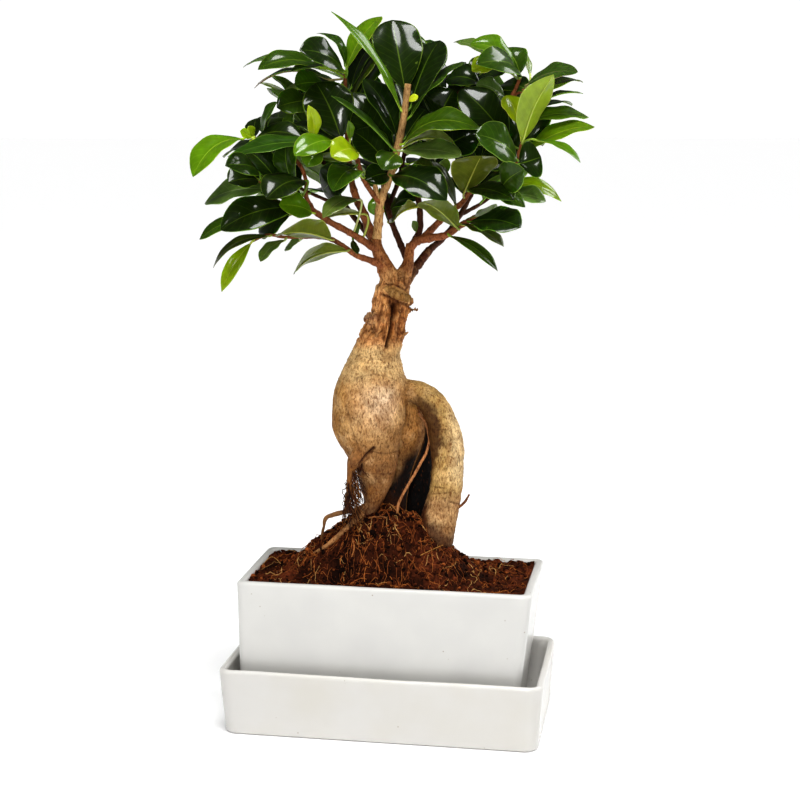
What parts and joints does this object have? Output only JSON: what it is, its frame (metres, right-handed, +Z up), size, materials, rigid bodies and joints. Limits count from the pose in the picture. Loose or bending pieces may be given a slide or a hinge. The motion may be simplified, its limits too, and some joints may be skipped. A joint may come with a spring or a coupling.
{
  "type": "potted bonsai tree",
  "caption": "Ginseng ficus bonsai with a swollen root trunk and glossy leaves, standing in soil in a rectangular white glazed pot on its saucer.",
  "frame": {"origin": "centre of the saucer's flat underside, on the surface that it stands on", "axes": "+Z up along the tree; +X along the pot's long side, to the right in the picture; -Y towards the viewer, the front with the arched root on the right"},
  "size_m": [0.2036, 0.1636, 0.3845],
  "materials": {
    "cream_glaze": "gloss",
    "white_glaze": "gloss",
    "soil": "matte",
    "bark": "matte",
    "leaf": "satin"
  },
  "bodies": {
    "root": {"saucer": "cream_glaze", "pot": "white_glaze", "soil": "soil", "trunk": "bark", "stem_leader": "leaf", "stem_upperLeft": "leaf", "stem_leftShoulder": "leaf", "stem_leftMiddle": "leaf", "stem_farLeft": "leaf", "stem_lowerLeft": "leaf", "stem_lowerRight": "leaf", "stem_middleRight": "leaf", "stem_farRight": "leaf", "stem_upperRight": "leaf", "stem_centre": "leaf", "stem_rearUp": "leaf", "stem_rearTop": "leaf", "stem_rearRight": "leaf", "stem_rearLeft": "leaf"}
  },
  "joints": []
}
